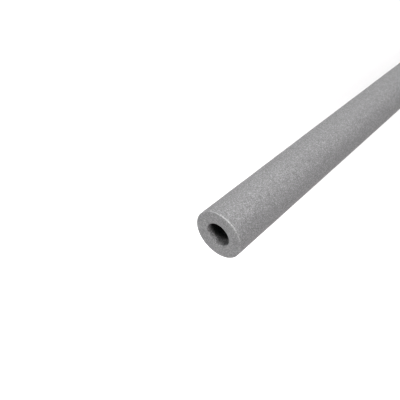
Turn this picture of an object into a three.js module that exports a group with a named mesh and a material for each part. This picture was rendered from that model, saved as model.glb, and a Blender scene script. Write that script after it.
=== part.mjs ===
// Foam pipe lagging: one straight length of closed-cell foam tube, cut square at both ends.
// Units are millimetres, +Z is up. A tube laid on its side rolls, so this one stands on its
// end, with the origin on the floor at the centre of the lower cut face.

import * as THREE from "three";

// Driving dimensions
const BORE = 25; // across the bore, which slips over the pipe
const WALL = 13; // thickness of the foam all round
const LENGTH = 1000; // one length of stock
const OUTER_EDGE_RADIUS = 1.0; // softened edge between a cut face and the outer skin
const BORE_EDGE_RADIUS = 0.5; // softened edge between a cut face and the bore

// Fineness of the faceted solid
const SIDES = 96; // facets round the tube
const OUTER_EDGE_STEPS = 4; // facets across the outer edge
const BORE_EDGE_STEPS = 2; // facets across the bore's edge

// Sizes that follow from them
const BORE_RADIUS = BORE / 2;
const OUTER_RADIUS = BORE_RADIUS + WALL;

const QUARTER_TURN = Math.PI / 2;

// Points of one rounded edge in the wall's section, turning a quarter turn from startAngle.
// The section's first coordinate is the distance from the axis, its second runs along the tube.
function roundedEdge(centreRadius, centreAlong, edgeRadius, startAngle, steps) {
  const points = [];
  for (let step = 0; step <= steps; step += 1) {
    const angle = startAngle + (QUARTER_TURN * step) / steps;
    points.push(
      new THREE.Vector2(
        centreRadius + edgeRadius * Math.cos(angle),
        centreAlong + edgeRadius * Math.sin(angle),
      ),
    );
  }
  return points;
}

// The wall cut lengthwise: a long rectangle with its four corners rounded. It is walked with
// the foam on its left, so the turned faces point out of the foam.
function wallSection() {
  const half = LENGTH / 2;
  const outerCentre = OUTER_RADIUS - OUTER_EDGE_RADIUS;
  const outerAlong = half - OUTER_EDGE_RADIUS;
  const boreCentre = BORE_RADIUS + BORE_EDGE_RADIUS;
  const boreAlong = half - BORE_EDGE_RADIUS;
  const section = [
    ...roundedEdge(outerCentre, -outerAlong, OUTER_EDGE_RADIUS, -QUARTER_TURN, OUTER_EDGE_STEPS),
    ...roundedEdge(outerCentre, outerAlong, OUTER_EDGE_RADIUS, 0, OUTER_EDGE_STEPS),
    ...roundedEdge(boreCentre, boreAlong, BORE_EDGE_RADIUS, QUARTER_TURN, BORE_EDGE_STEPS),
    ...roundedEdge(boreCentre, -boreAlong, BORE_EDGE_RADIUS, 2 * QUARTER_TURN, BORE_EDGE_STEPS),
  ];
  section.push(section[0].clone());
  return section;
}

// Soft grey polyethylene foam, matt all over
function foamMaterial() {
  return new THREE.MeshStandardMaterial({
    name: "grey_foam",
    color: 0x9c9a9b,
    roughness: 0.85,
    metalness: 0,
  });
}

// The whole length of lagging, turned about its axis and stood on its lower cut face
function laggingTube() {
  const geometry = new THREE.LatheGeometry(wallSection(), SIDES);
  const tube = new THREE.Mesh(geometry, foamMaterial());
  tube.name = "lagging_tube";
  tube.rotation.x = QUARTER_TURN;
  tube.position.z = LENGTH / 2;
  return tube;
}

const lagging = new THREE.Group();
lagging.name = "pipe_lagging";
lagging.add(laggingTube());

export default lagging;
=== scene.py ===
"""The looks of one length of grey foam pipe lagging, laid out as an add-on and run as a script.

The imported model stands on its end. The photograph shows such a tube lying on a floor with its
near cut end towards the camera, so the camera and the lamps are placed as they were round the
lying tube and then turned with it until it stands.
"""

import math
from typing import NamedTuple

import bmesh
import bpy
from bpy.props import FloatProperty, FloatVectorProperty, IntProperty, PointerProperty
from bpy.types import Operator, Panel, PropertyGroup
from mathutils import Matrix, Vector, noise


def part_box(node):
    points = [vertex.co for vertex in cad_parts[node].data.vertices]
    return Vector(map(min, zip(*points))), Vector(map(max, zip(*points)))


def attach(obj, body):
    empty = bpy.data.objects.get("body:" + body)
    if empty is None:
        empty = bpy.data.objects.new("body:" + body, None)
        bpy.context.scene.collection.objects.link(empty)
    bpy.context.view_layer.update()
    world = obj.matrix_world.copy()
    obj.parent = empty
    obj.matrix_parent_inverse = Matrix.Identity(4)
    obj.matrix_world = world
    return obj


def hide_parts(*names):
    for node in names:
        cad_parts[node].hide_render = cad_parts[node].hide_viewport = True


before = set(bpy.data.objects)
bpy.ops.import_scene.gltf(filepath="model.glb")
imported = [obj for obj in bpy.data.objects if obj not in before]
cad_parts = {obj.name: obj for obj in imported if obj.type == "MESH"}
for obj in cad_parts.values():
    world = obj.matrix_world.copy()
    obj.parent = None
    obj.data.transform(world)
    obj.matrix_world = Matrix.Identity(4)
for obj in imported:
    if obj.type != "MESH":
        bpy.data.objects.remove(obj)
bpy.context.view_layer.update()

bl_info = {
    "name": "Foam Pipe Lagging",
    "version": (1, 0, 0),
    "blender": (4, 5, 0),
    "location": "3D View > Sidebar > Lagging",
    "description": "Makes one length of foam pipe lagging and the studio it is shown in",
    "category": "Object",
}

NODE = "lagging_tube"
BODY = "root"

# The tube's own measures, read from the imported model
TUBE_LOW, TUBE_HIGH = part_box(NODE)
LENGTH = TUBE_HIGH.z - TUBE_LOW.z
OUTER_DIAMETER = TUBE_HIGH.x - TUBE_LOW.x
BORE_DIAMETER = 2 * min(v.co.xy.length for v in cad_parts[NODE].data.vertices)

QUARTER_TURN = math.pi / 2
FULL_TURN = 2 * math.pi
PICTURE_SIDE = 400  # pixels along each side of the square picture
SENSOR_WIDTH = 36.0  # millimetres
CLIP_RANGE = (0.01, 100.0)  # metres from the camera


class FoamTubeSettings(PropertyGroup):
    """Sizes of the foam tube and of its surface relief"""

    length: FloatProperty(
        name="Length",
        description="From one cut face to the other",
        default=LENGTH,
        unit="LENGTH",
    )
    outer_diameter: FloatProperty(
        name="Outer Diameter",
        description="Across the outer skin",
        default=OUTER_DIAMETER,
        unit="LENGTH",
    )
    bore_diameter: FloatProperty(
        name="Bore Diameter",
        description="Across the hole for the pipe",
        default=BORE_DIAMETER,
        unit="LENGTH",
    )
    outer_edge: FloatProperty(
        name="Outer Edge Radius",
        description="Softness of the edge between a cut face and the outer skin",
        default=0.0007,
        unit="LENGTH",
    )
    bore_edge: FloatProperty(
        name="Bore Edge Radius",
        description="Softness of the edge between a cut face and the bore",
        default=0.0005,
        unit="LENGTH",
    )
    flattened_by: FloatProperty(
        name="Flattened By",
        description="How much the soft tube is out of round, as a share of its size",
        default=0.02,
        subtype="FACTOR",
        min=0.0,
        max=0.1,
    )
    flattened_towards: FloatProperty(
        name="Flattened Towards",
        description="Where the tube is narrowest, round from the lying tube's upper side",
        default=math.radians(-25.0),
        unit="ROTATION",
    )
    cell_size: FloatProperty(
        name="Cell Size",
        description="Across one bubble of the foam",
        default=0.0012,
        unit="LENGTH",
        precision=5,
    )
    relief: FloatProperty(
        name="Cell Relief",
        description="How far a bubble stands out of the skin or is cut into at an end",
        default=0.00004,
        unit="LENGTH",
        precision=5,
    )
    unevenness: FloatProperty(
        name="Unevenness",
        description="How far the skin wanders from a true round over a few centimetres",
        default=0.00012,
        unit="LENGTH",
        precision=5,
    )
    sides: IntProperty(
        name="Sides",
        description="Faces round the tube",
        default=256,
        min=32,
    )


class FoamFinishSettings(PropertyGroup):
    """Colours and gloss of the foam"""

    skin_colour: FloatVectorProperty(
        name="Skin Colour",
        description="The moulded skin outside",
        default=(0.249, 0.248, 0.251),
        subtype="COLOR",
        size=3,
        min=0.0,
        max=1.0,
    )
    cut_colour: FloatVectorProperty(
        name="Cut Face Colour",
        description="The cells laid open by the blade at each end",
        default=(0.279, 0.278, 0.281),
        subtype="COLOR",
        size=3,
        min=0.0,
        max=1.0,
    )
    # Painted shade: the bore's skin is painted dark for the shade deep inside the bore
    bore_painted_shade_colour: FloatVectorProperty(
        name="Bore Colour",
        description="The skin inside the bore, away from its ends",
        default=(0.065, 0.065, 0.066),
        subtype="COLOR",
        size=3,
        min=0.0,
        max=1.0,
    )
    # Painted light: the bore's skin near a cut face is painted lighter where light reaches into
    # the mouth
    bore_mouth_painted_light_colour: FloatVectorProperty(
        name="Bore Mouth Colour",
        description="The skin of the bore near a cut face, where the blade has scuffed it",
        default=(0.34, 0.339, 0.342),
        subtype="COLOR",
        size=3,
        min=0.0,
        max=1.0,
    )
    # Painted highlight: a thin pale line along each cut face's outer edge, strongest on the lit
    # side
    painted_rim_highlight_colour: FloatVectorProperty(
        name="Cut Edge Colour",
        description="The scuffed edge round a cut face",
        default=(0.42, 0.42, 0.42),
        subtype="COLOR",
        size=3,
        min=0.0,
        max=1.0,
    )
    fleck_size: FloatProperty(
        name="Fleck Size",
        description="Across one lighter or darker fleck of the skin",
        default=0.0006,
        unit="LENGTH",
        precision=5,
    )
    open_cell_size: FloatProperty(
        name="Open Cell Size",
        description="Across one cell laid open on a cut face or scuffed open in the bore",
        default=0.0009,
        unit="LENGTH",
        precision=5,
    )
    pebble_depth: FloatProperty(
        name="Pebble Depth",
        description="Depth of the finest relief, which is too fine for the mesh",
        default=0.0002,
        unit="LENGTH",
        precision=5,
    )
    mottle: FloatProperty(
        name="Mottle",
        description="How much the shade of the skin varies from fleck to fleck",
        default=0.45,
        subtype="FACTOR",
        min=0.0,
        max=1.0,
    )
    cut_mottle: FloatProperty(
        name="Cut Face Mottle",
        description="How much the shade of a cut face varies from fleck to fleck",
        default=0.26,
        subtype="FACTOR",
        min=0.0,
        max=1.0,
    )
    skin_roughness: FloatProperty(
        name="Skin Roughness",
        description="Roughness of the moulded skin",
        default=0.55,
        subtype="FACTOR",
        min=0.0,
        max=1.0,
    )
    cut_roughness: FloatProperty(
        name="Cut Face Roughness",
        description="Roughness of the cut cells",
        default=0.85,
        subtype="FACTOR",
        min=0.0,
        max=1.0,
    )


class StudioSettings(PropertyGroup):
    """The camera as it stood to the lying tube, the lamps and the floor"""

    look_down: FloatProperty(
        name="Look Down",
        description="How steeply the camera looks down on the lying tube",
        default=math.radians(40.87),
        unit="ROTATION",
    )
    heading: FloatProperty(
        name="Heading",
        description="How far the lying tube runs away to the right of the camera's own direction",
        default=math.radians(41.93),
        unit="ROTATION",
    )
    focal_length: FloatProperty(
        name="Focal Length",
        description="Of the lens, on a sensor 36 mm wide",
        default=39.06,
        unit="CAMERA",
    )
    end_depth: FloatProperty(
        name="End Depth",
        description="From the camera to the near end's centre, along the camera's direction",
        default=0.3935,
        unit="LENGTH",
    )
    end_across: FloatProperty(
        name="End Across",
        description="Where the near end's centre shows, in pixels from the picture's left",
        default=217.7,
    )
    end_down: FloatProperty(
        name="End Down",
        description="Where the near end's centre shows, in pixels from the picture's top",
        default=235.15,
    )
    turned_to: FloatProperty(
        name="Turned To",
        description="Which way the lying tube's upper side faces once it stands, round from -Y",
        default=math.radians(31.6),
        unit="ROTATION",
    )
    floor_colour: FloatVectorProperty(
        name="Floor Colour",
        description="Of the plain pale floor",
        default=(0.9, 0.9, 0.9),
        subtype="COLOR",
        size=3,
        min=0.0,
        max=1.0,
    )
    stage_glow: FloatProperty(
        name="Stage Glow",
        description="Brightness of the backdrop and of the far floor, a little past plain white",
        default=1.12,
        min=0.0,
    )
    surroundings: FloatProperty(
        name="Surroundings",
        description="Strength of the even white light from all round, which fades out higher up",
        default=0.76,
        min=0.0,
    )


# How finely the mesh follows the foam. Lengths are metres along the wall.
STEPS_A_CELL = 2  # rings across one bubble where the mesh carries the bubbles
FINE_ZONE = 0.035  # how far from a cut face the outer skin's mesh carries them
FINE_BORE_ZONE = FINE_ZONE / 3  # the same in the bore
RELIEF_FADE = 0.03  # over this much the bubbles' relief fades out
WIDEST_STEP = 0.012  # between rings of the outer skin in the middle of the tube
WIDEST_BORE_STEP = 0.024  # the same in the bore
STEP_GROWTH = 1.25  # from one ring to the next, past the fine zone
OUTER_EDGE_STEPS = 8  # across the outer rounded edge
BORE_EDGE_STEPS = 5  # across the bore's rounded edge
EDGE_RELIEF = 0.5  # share of the bubbles' relief on the rounded edges

# The foam's relief
CELL_REACH = 0.7  # from a bubble's middle to its rim, in bubbles
CELL_MEAN = 0.4  # a bubble's average height, taken off so that the relief goes both ways
CUT_RELIEF = -1.5  # relief of a cut face against the skin's: it goes in, and deeper
CUT_WANDER = 0.3  # unevenness of a cut face against the skin's
SLOW_WANDER = 45.0  # slow waves of unevenness to the metre
QUICK_WANDER = 160.0  # quick ones
QUICK_SHARE = 0.35  # height of the quick ones against the slow ones


class Station(NamedTuple):
    """One ring of the tube's surface, as a point of the wall's lengthwise section"""

    radius: float
    height: float
    outward: Vector  # away from the foam, as distance from the axis and height
    is_cut: bool  # on a cut face, not on skin
    from_cut: float  # distance from the nearer cut face
    relief: float  # share of the cell relief that the mesh carries here


def clamped(share):
    """A share kept between 0 and 1"""
    return max(0.0, min(1.0, share))


def crowded_to_ends(length, fine_step, fine_zone, widest_step):
    """Distances from 0 to length, close together near both ends and wider towards the middle"""
    marks = [0.0]
    step = fine_step
    while marks[-1] < length / 2:
        if marks[-1] > fine_zone:
            step = min(step * STEP_GROWTH, widest_step)
        marks.append(marks[-1] + step)
    fit = length / 2 / marks[-1]
    near = [mark * fit for mark in marks]
    return near + [length - mark for mark in reversed(near[:-1])]


def arc_stations(centre_radius, centre_height, edge_radius, start, steps):
    """The rounded edge between a cut face and a skin, a quarter turn from the angle start"""
    stations = []
    for step in range(1, steps):
        angle = start + QUARTER_TURN * step / steps
        outward = Vector((math.cos(angle), math.sin(angle)))
        stations.append(
            Station(
                centre_radius + edge_radius * outward.x,
                centre_height + edge_radius * outward.y,
                outward,
                is_cut=False,
                from_cut=edge_radius * (1.0 - abs(outward.y)),
                relief=EDGE_RELIEF,
            )
        )
    return stations


def wall_section(tube):
    """The wall's lengthwise section: a closed loop of stations, with the foam on its left"""
    outer = tube.outer_diameter / 2
    bore = tube.bore_diameter / 2
    top = tube.length
    fine_step = tube.cell_size / STEPS_A_CELL

    def edge_to_edge(edge, fine_zone, widest_step):
        """Heights from one rounded edge to the other"""
        marks = crowded_to_ends(top - 2 * edge, fine_step, fine_zone, widest_step)
        return [edge + mark for mark in marks]

    def skin(radius, outward_sign, marks):
        """The outer skin or the bore's, at each height"""
        stations = []
        for mark in marks:
            from_end = min(mark, top - mark)
            stations.append(
                Station(
                    radius,
                    mark,
                    Vector((outward_sign, 0.0)),
                    is_cut=False,
                    from_cut=from_end,
                    relief=clamped((FINE_ZONE - from_end) / RELIEF_FADE),
                )
            )
        return stations

    def cut_face(height, outward_sign, radii):
        """A cut face, at each distance from the axis"""
        return [
            Station(r, height, Vector((0.0, outward_sign)), is_cut=True, from_cut=0.0, relief=1.0)
            for r in radii
        ]

    outer_marks = edge_to_edge(tube.outer_edge, FINE_ZONE, WIDEST_STEP)
    bore_marks = edge_to_edge(tube.bore_edge, FINE_BORE_ZONE, WIDEST_BORE_STEP)
    flat_from = bore + tube.bore_edge
    flat_to = outer - tube.outer_edge

    def outer_arc(height, start):
        """The outer rounded edge, with its centre at a height"""
        return arc_stations(flat_to, height, tube.outer_edge, start, OUTER_EDGE_STEPS)

    def bore_arc(height, start):
        """The bore's rounded edge, with its centre at a height"""
        return arc_stations(flat_from, height, tube.bore_edge, start, BORE_EDGE_STEPS)

    rings = round((flat_to - flat_from) / fine_step)
    radii = [flat_from + (flat_to - flat_from) * ring / rings for ring in range(rings + 1)]

    return [
        *outer_arc(tube.outer_edge, -QUARTER_TURN),
        *skin(outer, 1.0, outer_marks),
        *outer_arc(top - tube.outer_edge, 0.0),
        *cut_face(top, 1.0, reversed(radii)),
        *bore_arc(top - tube.bore_edge, QUARTER_TURN),
        *skin(bore, -1.0, reversed(bore_marks)),
        *bore_arc(tube.bore_edge, 2 * QUARTER_TURN),
        *cut_face(0.0, -1.0, radii),
    ]


def cell_height(point, cell_size):
    """From 0 at a bubble's rim to about 1 at its middle"""
    distances, _ = noise.voronoi(point / cell_size)
    return max(0.0, 1.0 - distances[0] / CELL_REACH)


def surface_offset(point, station, tube):
    """How far the real surface lies outside the plain tube at a point"""
    cells = cell_height(point, tube.cell_size) - CELL_MEAN
    into_or_out = CUT_RELIEF if station.is_cut else 1.0
    relief = tube.relief * station.relief * into_or_out * cells
    slow = noise.noise(point * SLOW_WANDER)
    quick = noise.noise(point * QUICK_WANDER)
    wander = tube.unevenness * (slow + QUICK_SHARE * quick)
    return relief + (CUT_WANDER if station.is_cut else 1.0) * wander


OUTER_SKIN, CUT_FACE, BORE_SKIN = range(3)  # the materials' places on the mesh
PAINTED_EDGE_LIGHT = "painted_edge_light"  # the mesh's measure of the painted light on the edges and in the bore's mouth at a point


def finish_between(station, after):
    """Which finish the faces between two neighbouring stations have"""
    if station.is_cut and after.is_cut:
        return CUT_FACE
    return OUTER_SKIN if station.outward.x + after.outward.x > 0 else BORE_SKIN


# Where the painted light is, in degrees round the lying tube from its upper side
RIM_HIGHLIGHT_AT = 32.0  # the painted highlight on the outer edge is strongest here, on the lit side
LIT_LIP_AT = -130.0  # painted light on the bore's lip is strongest here, on the side where light falls into the mouth
LIT_WALL_AT = 175.0  # painted light on the bore's lower wall is strongest here

# How deep the painted light goes: metres from the cut face until it fades, and metres that it
# fades over
RIM_DEPTH = (0.0008, 0.0008)
LIP_DEPTH = (0.0007, 0.0025)
LIT_WALL_RISE = (0.006, 0.005)
LIT_WALL_FADE = (0.017, 0.02)
LIT_LIP_LEAST_DEPTH = 0.001  # at the lit lip's borders
LIT_LIP_ADDED_DEPTH = 0.004  # at its middle
LIT_LIP_FADE = 0.004

# How strong it is, as a share of the painted light's colour
RIM_HIGHLIGHT_STRENGTH = 1.5  # past 1 it is whole over a wider stretch
RIM_AWAY_FROM_HIGHLIGHT = 0.08  # the rest of the rim
LIP_STRENGTH = 0.65
LEAST_WALL_LIGHT = 0.2  # near the mouth and far inside

# How quickly it falls off round the tube: the power of a cosine
RIM_HIGHLIGHT_FALL = 4
LIT_LIP_FALL = 2
LIT_WALL_FALL = 6


def faded(depth, start, over):
    """1 down to a depth of start, then down to 0 over a further depth"""
    return clamped(1.0 - (depth - start) / over)


def facing(turn, fall):
    """1 at no turn away, down to 0 at a quarter turn"""
    return clamped(math.cos(turn)) ** fall


def rim_highlight_line(depth, from_highlight):
    """Painted highlight on the outer edge: a thin pale line, strongest on the lit side and faint
    elsewhere
    """
    highlight_share = clamped(RIM_HIGHLIGHT_STRENGTH * facing(from_highlight, RIM_HIGHLIGHT_FALL))
    return (RIM_AWAY_FROM_HIGHLIGHT + (1.0 - RIM_AWAY_FROM_HIGHLIGHT) * highlight_share) * faded(depth, *RIM_DEPTH)


def mouth_painted_light(depth, from_lit_lip, from_lit_wall):
    """Painted light in the bore: a lighter lip all round, a lighter stretch where light falls in,
    and light on the lower wall
    """
    lip = LIP_STRENGTH * faded(depth, *LIP_DEPTH)
    side = facing(from_lit_lip, LIT_LIP_FALL)
    lit_lip_share = side * faded(depth, LIT_LIP_LEAST_DEPTH + LIT_LIP_ADDED_DEPTH * side, LIT_LIP_FADE)
    near = 1.0 - (1.0 - LEAST_WALL_LIGHT) * faded(depth, *LIT_WALL_RISE)
    far = LEAST_WALL_LIGHT + (1.0 - LEAST_WALL_LIGHT) * faded(depth, *LIT_WALL_FADE)
    lit_wall_share = facing(from_lit_wall, LIT_WALL_FALL) * near * far
    return max(lip, lit_lip_share, lit_wall_share)


def foam_tube_points(section, tube, turned_to):
    """The points of every ring of the tube, and the painted light on the foam at each"""
    upper_side = turned_to - QUARTER_TURN
    narrow_at = upper_side - tube.flattened_towards
    rim_highlight_at = upper_side - math.radians(RIM_HIGHLIGHT_AT)
    lit_lip_at = upper_side - math.radians(LIT_LIP_AT)
    lit_wall_at = upper_side - math.radians(LIT_WALL_AT)
    innermost_cut = min(station.radius for station in section if station.is_cut)
    points = []
    edge_light_shares = []
    for station in section:
        for side in range(tube.sides):
            angle = FULL_TURN * side / tube.sides
            round_x, round_y = math.cos(angle), math.sin(angle)
            radius = station.radius * (1.0 - tube.flattened_by * math.cos(2 * (angle - narrow_at)))
            point = Vector((radius * round_x, radius * round_y, station.height))
            outward = Vector(
                (station.outward.x * round_x, station.outward.x * round_y, station.outward.y)
            )
            points.append(point + outward * surface_offset(point, station, tube))
            if station.outward.x > 0:
                edge_light_shares.append(rim_highlight_line(station.from_cut, angle - rim_highlight_at))
            elif station.outward.x < 0 or station.radius <= innermost_cut:
                edge_light_shares.append(mouth_painted_light(station.from_cut, angle - lit_lip_at, angle - lit_wall_at))
            else:
                edge_light_shares.append(0.0)
    return points, edge_light_shares


def foam_tube_faces(section, sides):
    """The faces between each ring and the next, and each face's finish"""
    faces = []
    finishes = []
    rings = len(section)
    for ring in range(rings):
        after = (ring + 1) % rings
        finish = finish_between(section[ring], section[after])
        for side in range(sides):
            next_side = (side + 1) % sides
            faces.append(
                (
                    ring * sides + side,
                    ring * sides + next_side,
                    after * sides + next_side,
                    after * sides + side,
                )
            )
            finishes.append(finish)
    return faces, finishes


def foam_tube_mesh(tube, turned_to):
    """The closed surface of the tube, with its relief, its finishes and its painted edge light"""
    section = wall_section(tube)
    points, edge_light_shares = foam_tube_points(section, tube, turned_to)
    faces, finishes = foam_tube_faces(section, tube.sides)
    mesh = bpy.data.meshes.new("foam_tube")
    mesh.from_pydata(points, [], faces)
    mesh.polygons.foreach_set("material_index", finishes)
    mesh.polygons.foreach_set("use_smooth", [True] * len(faces))
    edge_light_mask = mesh.attributes.new(PAINTED_EDGE_LIGHT, "FLOAT", "POINT")
    edge_light_mask.data.foreach_set("value", edge_light_shares)
    mesh.validate()
    mesh.update()
    return mesh


BLOTCH_DETAIL = 2.0  # finer layers of noise in a soft patch


class Shader:
    """A node material being wired, with its surface shader and its surface position at hand"""

    def __init__(self, name):
        self.material = bpy.data.materials.new(name)
        self.material.use_nodes = True
        self.tree = self.material.node_tree
        self.surface = self.tree.nodes["Principled BSDF"]
        self.place = self.node("ShaderNodeTexCoord").outputs["Object"]

    def node(self, kind, **settings):
        """Adds a node and sets its own options"""
        made = self.tree.nodes.new(kind)
        for name, value in settings.items():
            setattr(made, name, value)
        return made

    def feed(self, socket, source):
        """Links a socket to another, or sets it to a plain value"""
        if isinstance(source, bpy.types.NodeSocket):
            self.tree.links.new(source, socket)
        else:
            socket.default_value = source

    def math(self, operation, first, second):
        """Joins two values by an operation of the math node"""
        made = self.node("ShaderNodeMath", operation=operation)
        self.feed(made.inputs[0], first)
        self.feed(made.inputs[1], second)
        return made.outputs[0]

    def cells(self, size):
        """Bubbles of a size: (distance from the nearest middle, each bubble's own shade)"""
        made = self.node("ShaderNodeTexVoronoi", voronoi_dimensions="3D", feature="F1")
        self.feed(made.inputs["Vector"], self.place)
        made.inputs["Scale"].default_value = 1.0 / size
        parts = self.node("ShaderNodeSeparateColor")
        self.feed(parts.inputs["Color"], made.outputs["Color"])
        return made.outputs["Distance"], parts.outputs["Red"]

    def blotches(self, size):
        """Soft patches of a size, round 0.5"""
        made = self.node("ShaderNodeTexNoise", noise_dimensions="3D")
        self.feed(made.inputs["Vector"], self.place)
        made.inputs["Scale"].default_value = 1.0 / size
        made.inputs["Detail"].default_value = BLOTCH_DETAIL
        return made.outputs["Fac"]

    def about_one(self, shade, spread):
        """Turns a shade round 0.5 into a factor round 1"""
        return self.math("ADD", self.math("MULTIPLY", shade, 2 * spread), 1.0 - spread)

    def tint(self, colour, factor):
        """A plain colour made lighter and darker by a factor"""
        made = self.node("ShaderNodeVectorMath", operation="SCALE")
        self.feed(made.inputs[0], colour)
        self.feed(made.inputs["Scale"], factor)
        return made.outputs[0]


# Patterns on the foam, by their size against one fleck
GRAIN_SIZE = 0.6
PATCH_SIZE = 10
BROKEN_SIZE = 2.5

FLECK_POWER = 2.0  # above 1 it makes most flecks dark and a few light
PATCH_SHARE = 0.3  # how much patches vary, against the flecks
BROKEN_SPREAD = 0.3  # how unevenly the painted edge light takes
SPECULAR_LEVEL = 0.8
REFRACTION = 1.5  # index of the plastic


class FoamFinish(NamedTuple):
    """The looks of one kind of foam surface"""

    name: str
    colour: tuple
    edge_light_colour: tuple
    fleck_size: float
    mottle: float
    roughness: float
    painted_cell_shade: float  # painted shade in the cells: how much lighter a cell's walls are than its middle
    cell_lift: float  # how far a cell's middle stands out, against the finest grain
    pebble_depth: float


def foam_material(foam):
    """Closed-cell foam: shade varies from fleck to fleck, and cells stand out or are cut into"""
    shader = Shader(foam.name)
    distance, own_shade = shader.cells(foam.fleck_size)
    grain = shader.blotches(foam.fleck_size * GRAIN_SIZE)
    patches = shader.blotches(foam.fleck_size * PATCH_SIZE)

    flecks = shader.math("POWER", own_shade, FLECK_POWER)
    shade = shader.about_one(flecks, foam.mottle)
    # Random tone from fleck to fleck, and painted shade in the cells by their walls and middles
    for pattern, spread in (
        (grain, foam.mottle),
        (distance, foam.painted_cell_shade),
        (patches, foam.mottle * PATCH_SHARE),
    ):
        shade = shader.math("MULTIPLY", shade, shader.about_one(pattern, spread))
    body = shader.tint(foam.colour, shade)

    # Painted highlight on the outer edge and painted light in the bore's mouth, laid over the
    # foam's colour
    edge_light_mask = shader.node("ShaderNodeAttribute", attribute_name=PAINTED_EDGE_LIGHT)
    broken = shader.about_one(shader.blotches(foam.fleck_size * BROKEN_SIZE), BROKEN_SPREAD)
    amount = shader.math("MULTIPLY", edge_light_mask.outputs["Fac"], broken)
    mixed = shader.node("ShaderNodeMix", data_type="RGBA")
    shader.feed(mixed.inputs["Factor"], amount)
    shader.feed(mixed.inputs["A"], body)
    shader.feed(mixed.inputs["B"], shader.tint(foam.edge_light_colour, shade))
    shader.feed(shader.surface.inputs["Base Color"], mixed.outputs["Result"])

    shader.surface.inputs["Roughness"].default_value = foam.roughness
    shader.surface.inputs["Specular IOR Level"].default_value = SPECULAR_LEVEL
    shader.surface.inputs["IOR"].default_value = REFRACTION

    height = shader.math("ADD", shader.math("MULTIPLY", distance, -foam.cell_lift), grain)
    bump = shader.node("ShaderNodeBump")
    bump.inputs["Strength"].default_value = 1.0
    bump.inputs["Distance"].default_value = foam.pebble_depth
    shader.feed(bump.inputs["Height"], height)
    shader.feed(shader.surface.inputs["Normal"], bump.outputs["Normal"])
    return shader.material


def foam_finishes(finish):
    """The outer skin, the cut faces and the bore's skin, in their order on the mesh"""
    return (
        FoamFinish(
            name="foam_outer_skin",
            colour=tuple(finish.skin_colour),
            edge_light_colour=tuple(finish.painted_rim_highlight_colour),
            fleck_size=finish.fleck_size,
            mottle=finish.mottle,
            roughness=finish.skin_roughness,
            painted_cell_shade=-0.1,
            cell_lift=1.5,
            pebble_depth=finish.pebble_depth,
        ),
        FoamFinish(
            name="foam_cut_face",
            colour=tuple(finish.cut_colour),
            edge_light_colour=tuple(finish.cut_colour),
            fleck_size=finish.open_cell_size,
            mottle=finish.cut_mottle,
            roughness=finish.cut_roughness,
            painted_cell_shade=0.3,
            cell_lift=-1.5,
            pebble_depth=finish.pebble_depth,
        ),
        FoamFinish(
            name="foam_bore_skin",
            colour=tuple(finish.bore_painted_shade_colour),
            edge_light_colour=tuple(finish.bore_mouth_painted_light_colour),
            fleck_size=finish.open_cell_size,
            mottle=finish.mottle,
            roughness=finish.cut_roughness,
            painted_cell_shade=0.3,
            cell_lift=1.5,
            pebble_depth=finish.pebble_depth,
        ),
    )


class LAGGING_OT_make_foam_tube(Operator):
    """Make the length of foam tube and put it in the place of the plain solid"""

    bl_idname = "lagging.make_foam_tube"
    bl_label = "Make Foam Tube"

    def execute(self, context):
        """Makes the mesh and its materials, and hides the node it replaces"""
        tube = context.scene.lagging_tube
        finish = context.scene.lagging_finish
        if tube.bore_diameter >= tube.outer_diameter:
            raise ValueError("the bore is as wide as the tube, so it has no wall")
        mesh = foam_tube_mesh(tube, context.scene.lagging_studio.turned_to)
        for foam in foam_finishes(finish):
            mesh.materials.append(foam_material(foam))
        piece = bpy.data.objects.new("foam_tube", mesh)
        context.collection.objects.link(piece)
        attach(piece, BODY)
        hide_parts(NODE)
        return {"FINISHED"}


class Lie:
    """The directions of the lying tube as they stand now that it is on its end"""

    def __init__(self, studio):
        self.end = Vector((0.0, 0.0, TUBE_HIGH.z))
        self.along = Vector((0.0, 0.0, -1.0))
        self.up = Vector((math.sin(studio.turned_to), -math.cos(studio.turned_to), 0.0))
        self.side = self.along.cross(self.up)


def add_camera(context, studio, lie):
    """The camera, turned with the tube as it was stood on its end"""
    ahead = lie.along * math.cos(studio.heading) - lie.side * math.sin(studio.heading)
    right = lie.along * math.sin(studio.heading) + lie.side * math.cos(studio.heading)
    forward = ahead * math.cos(studio.look_down) - lie.up * math.sin(studio.look_down)
    upward = right.cross(forward)

    data = bpy.data.cameras.new("camera")
    data.sensor_width = SENSOR_WIDTH
    data.lens = studio.focal_length
    data.clip_start, data.clip_end = CLIP_RANGE
    pixels_per_metre = studio.focal_length / SENSOR_WIDTH * PICTURE_SIDE / studio.end_depth
    middle = PICTURE_SIDE / 2
    eye = (
        lie.end
        - forward * studio.end_depth
        - right * ((studio.end_across - middle) / pixels_per_metre)
        + upward * ((studio.end_down - middle) / pixels_per_metre)
    )
    camera = bpy.data.objects.new("camera", data)
    turn = Matrix((right, upward, -forward)).transposed().to_4x4()
    camera.matrix_world = Matrix.Translation(eye) @ turn
    context.collection.objects.link(camera)
    context.scene.camera = camera


def add_softbox(context, name, at, aim, width, height, power, colour):
    """A softbox that shines from a point towards another"""
    data = bpy.data.lights.new(name, "AREA")
    data.shape = "RECTANGLE"
    data.size, data.size_y = width, height
    data.energy = power
    data.color = colour
    lamp = bpy.data.objects.new(name, data)
    lamp.location = at
    lamp.rotation_euler = (aim - at).to_track_quat("-Z", "Y").to_euler()
    lamp.visible_camera = False
    context.collection.objects.link(lamp)


class Softbox(NamedTuple):
    """One softbox beside the tube. Its turn is counted from the lying tube's upper side."""

    name: str
    turn: float  # degrees round the tube
    distance: float  # metres from the tube, along the floor
    height: float  # metres above the floor
    aim_height: float
    width: float
    tall: float
    power: float  # watts
    colour: tuple


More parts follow.
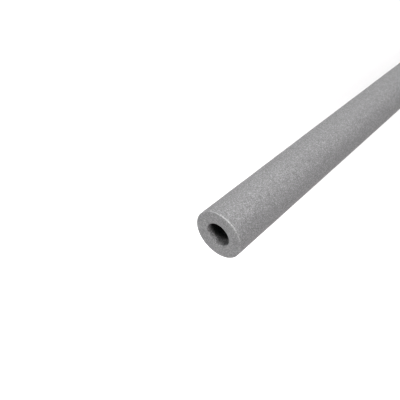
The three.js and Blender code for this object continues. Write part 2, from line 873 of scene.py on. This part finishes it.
SOFTBOXES = (
    Softbox("narrow_key", 37, 3.0, 1.6, 1.2, 0.8, 1.0, 55, (1.0, 0.975, 0.985)),
    Softbox("broad_key", -15, 3.0, 1.6, 1.2, 1.8, 1.8, 89, (0.985, 0.995, 1.0)),
    Softbox("fill", 150, 3.0, 1.6, 1.2, 1.8, 1.8, 58, (1.0, 0.94, 0.95)),
    Softbox("end_light", 240, 2.5, 2.8, 1.0, 1.5, 1.2, 74, (0.99, 0.995, 1.0)),
)


def add_softboxes(context, lie):
    """The softboxes round the tube"""
    for box in SOFTBOXES:
        turn = math.radians(box.turn)
        at = (lie.up * math.cos(turn) + lie.side * math.sin(turn)) * box.distance
        at.z = box.height
        aim = Vector((0.0, 0.0, box.aim_height))
        add_softbox(context, box.name, at, aim, box.width, box.tall, box.power, box.colour)


# The strength of the surroundings from straight down to straight up: degrees above the horizon
# and the share of the full strength. Below the horizon they stand for the floor's bounce.
SURROUNDINGS_BY_HEIGHT = (
    (-90, 0.75),
    (-3, 0.75),
    (-2, 1.0),
    (7, 1.0),
    (14, 0.4),
    (24, 0.3),
    (36, 0.0),
)


def add_surroundings(context, studio):
    """Even white light from all round, which fades out higher up and is hidden by the backdrop"""
    world = context.scene.world or bpy.data.worlds.new("studio")
    context.scene.world = world
    world.use_nodes = True
    tree = world.node_tree
    sky = tree.nodes["Background"]
    direction = tree.nodes.new("ShaderNodeTexCoord")
    parts = tree.nodes.new("ShaderNodeSeparateXYZ")
    rise = tree.nodes.new("ShaderNodeMapRange")
    rise.inputs["From Min"].default_value = -1.0
    ramp = tree.nodes.new("ShaderNodeValToRGB")
    stops = ramp.color_ramp.elements
    for stop, (degrees, share) in enumerate(SURROUNDINGS_BY_HEIGHT):
        at = (math.sin(math.radians(degrees)) + 1) / 2
        if stop < len(stops):
            stops[stop].position = at
        else:
            stops.new(at)
        strength = studio.surroundings * share
        stops[stop].color = (strength, strength, strength, 1.0)
    tree.links.new(direction.outputs["Generated"], parts.inputs["Vector"])
    tree.links.new(parts.outputs["Z"], rise.inputs["Value"])
    tree.links.new(rise.outputs["Result"], ramp.inputs["Fac"])
    tree.links.new(ramp.outputs["Color"], sky.inputs["Color"])


WHITE = (1.0, 1.0, 1.0, 1.0)
BLACK = (0.0, 0.0, 0.0, 1.0)

# Distances on the stage are metres from the tube
STAGE_REACH = 30.0  # to where the backdrop meets the floor
FLOOR_REACH = STAGE_REACH * 1.1  # to the floor's edges, past the backdrop
GLOW_FROM = 0.2  # the floor glows only from here on
GLOW_WHOLE = 3.0  # and glows in full from here on
DOME_DIVISIONS = 4

FLOOR_ROUGHNESS = 0.9
FLOOR_SPECULAR = 0.1


def floor_material(studio):
    """Pale floor: it takes the tube's shadow near the tube, and glows evenly white further off"""
    shader = Shader("pale_floor")
    paint = shader.surface
    paint.inputs["Base Color"].default_value = (*studio.floor_colour, 1.0)
    paint.inputs["Roughness"].default_value = FLOOR_ROUGHNESS
    paint.inputs["Specular IOR Level"].default_value = FLOOR_SPECULAR
    distance = shader.node("ShaderNodeVectorMath", operation="LENGTH")
    shader.feed(distance.inputs[0], shader.place)
    glow = shader.node("ShaderNodeMapRange", interpolation_type="SMOOTHSTEP")
    shader.feed(glow.inputs["Value"], distance.outputs["Value"])
    glow.inputs["From Min"].default_value = GLOW_FROM
    glow.inputs["From Max"].default_value = GLOW_WHOLE
    glow.inputs["To Max"].default_value = studio.stage_glow
    paint.inputs["Emission Color"].default_value = WHITE
    shader.feed(paint.inputs["Emission Strength"], glow.outputs["Result"])
    return shader.material


def backdrop_material(studio):
    """The same white as the far floor, so that no horizon shows"""
    shader = Shader("white_backdrop")
    paint = shader.surface
    paint.inputs["Base Color"].default_value = BLACK
    paint.inputs["Specular IOR Level"].default_value = 0.0
    paint.inputs["Emission Color"].default_value = WHITE
    paint.inputs["Emission Strength"].default_value = studio.stage_glow
    return shader.material


def put_on_stage(context, name, corners, faces, material):
    """A stage surface that the camera sees and that sends no light of its own to the tube"""
    mesh = bpy.data.meshes.new(name)
    mesh.from_pydata(corners, [], faces)
    mesh.materials.append(material)
    material.cycles.emission_sampling = "NONE"
    surface = bpy.data.objects.new(name, mesh)
    surface.visible_diffuse = False
    surface.visible_glossy = False
    context.collection.objects.link(surface)
    return surface


def add_floor(context, studio):
    """The pale floor"""
    signs = ((-1, -1), (1, -1), (1, 1), (-1, 1))
    corners = [(x * FLOOR_REACH, y * FLOOR_REACH, 0) for x, y in signs]
    put_on_stage(context, "floor", corners, [(0, 1, 2, 3)], floor_material(studio))


def add_backdrop(context, studio):
    """A white dome far behind everything"""
    dome = bmesh.new()
    bmesh.ops.create_icosphere(dome, subdivisions=DOME_DIVISIONS, radius=STAGE_REACH)
    corners = [corner.co[:] for corner in dome.verts]
    faces = [[corner.index for corner in face.verts] for face in dome.faces]
    dome.free()
    surface = put_on_stage(context, "backdrop", corners, faces, backdrop_material(studio))
    surface.visible_shadow = False


class LAGGING_OT_set_up_studio(Operator):
    """Set up the camera, the soft lamps and the pale floor"""

    bl_idname = "lagging.set_up_studio"
    bl_label = "Set Up Studio"

    def execute(self, context):
        """Adds everything on the stage but the tube"""
        studio = context.scene.lagging_studio
        lie = Lie(studio)
        add_camera(context, studio, lie)
        add_softboxes(context, lie)
        add_floor(context, studio)
        add_backdrop(context, studio)
        add_surroundings(context, studio)
        context.scene.view_settings.view_transform = "Standard"
        return {"FINISHED"}


class LAGGING_PT_sidebar(Panel):
    """The lagging's pieces and their settings"""

    bl_label = "Foam Pipe Lagging"
    bl_idname = "LAGGING_PT_sidebar"
    bl_space_type = "VIEW_3D"
    bl_region_type = "UI"
    bl_category = "Lagging"

    def draw(self, context):
        """Each operator with the settings that it reads"""
        for operator, settings in STEPS:
            box = self.layout.box()
            box.operator(operator.bl_idname)
            for pointer in settings:
                group = getattr(context.scene, pointer)
                for name in group.bl_rna.properties.keys():
                    if name not in {"rna_type", "name"}:
                        box.prop(group, name)


STEPS = (
    (LAGGING_OT_set_up_studio, ("lagging_studio",)),
    (LAGGING_OT_make_foam_tube, ("lagging_tube", "lagging_finish")),
)
SETTINGS = {
    "lagging_tube": FoamTubeSettings,
    "lagging_finish": FoamFinishSettings,
    "lagging_studio": StudioSettings,
}
CLASSES = (
    *SETTINGS.values(),
    LAGGING_OT_set_up_studio,
    LAGGING_OT_make_foam_tube,
    LAGGING_PT_sidebar,
)


def register():
    """Makes Blender know the add-on's classes and settings"""
    for cls in CLASSES:
        bpy.utils.register_class(cls)
    for pointer, settings in SETTINGS.items():
        setattr(bpy.types.Scene, pointer, PointerProperty(type=settings))


def unregister():
    """Makes Blender forget the add-on's classes and settings"""
    for pointer in SETTINGS:
        delattr(bpy.types.Scene, pointer)
    for cls in reversed(CLASSES):
        bpy.utils.unregister_class(cls)


def main():
    """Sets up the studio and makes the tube"""
    register()
    bpy.ops.lagging.set_up_studio()
    bpy.ops.lagging.make_foam_tube()


if __name__ == "__main__":
    main()
